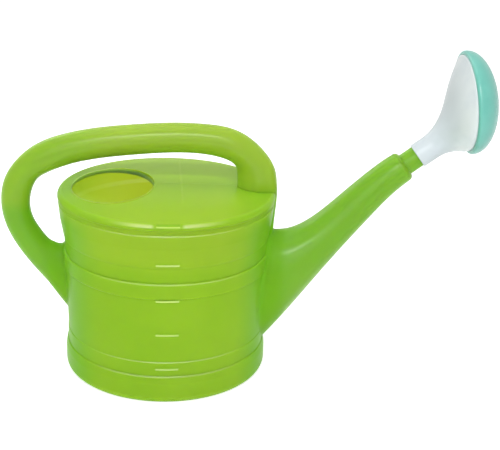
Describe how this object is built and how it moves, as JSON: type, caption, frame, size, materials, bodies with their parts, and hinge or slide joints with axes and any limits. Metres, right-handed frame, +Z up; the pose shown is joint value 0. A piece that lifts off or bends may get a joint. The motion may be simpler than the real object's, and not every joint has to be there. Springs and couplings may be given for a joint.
{
  "type": "watering can",
  "caption": "Round blow-moulded garden watering can with an oval filling mouth, a hollow loop handle, a rising spout and a pull-off rose whose domed perforated face comes off.",
  "frame": {"origin": "centre of the round foot, on the ground that the can stands on", "axes": "+Z up, +X from the tank towards the spout and rose, the level marks face -Y; the plane of symmetry is y = 0"},
  "size_m": [0.5807, 0.2582, 0.3915],
  "materials": {
    "can_green": "satin blow-moulded polyethylene",
    "rose_white": "slightly translucent injection-moulded polypropylene",
    "face_teal": "injection-moulded polypropylene"
  },
  "bodies": {
    "can": {"tank": "can_green", "deck": "can_green", "handle": "can_green", "spout": "can_green"},
    "rose_slide": {"rose_socket": "rose_white"},
    "rose": {"rose_funnel": "rose_white"},
    "face": {"rose_face": "face_teal"}
  },
  "joints": [
    {"name": "rose_pull", "type": "slide", "parent": "can", "child": "rose_slide", "axis": [0.7986, 0, 0.6018], "range_m": [0, 0.06]},
    {"name": "rose_turn", "type": "hinge", "parent": "rose_slide", "child": "rose", "pos_m": [0.3132, 0, 0.27531], "axis": [0.7986, 0, 0.6018], "continuous": true},
    {"name": "face_pull", "type": "slide", "parent": "rose", "child": "face", "axis": [0.9945, 0, 0.1045], "range_m": [0, 0.05]}
  ]
}
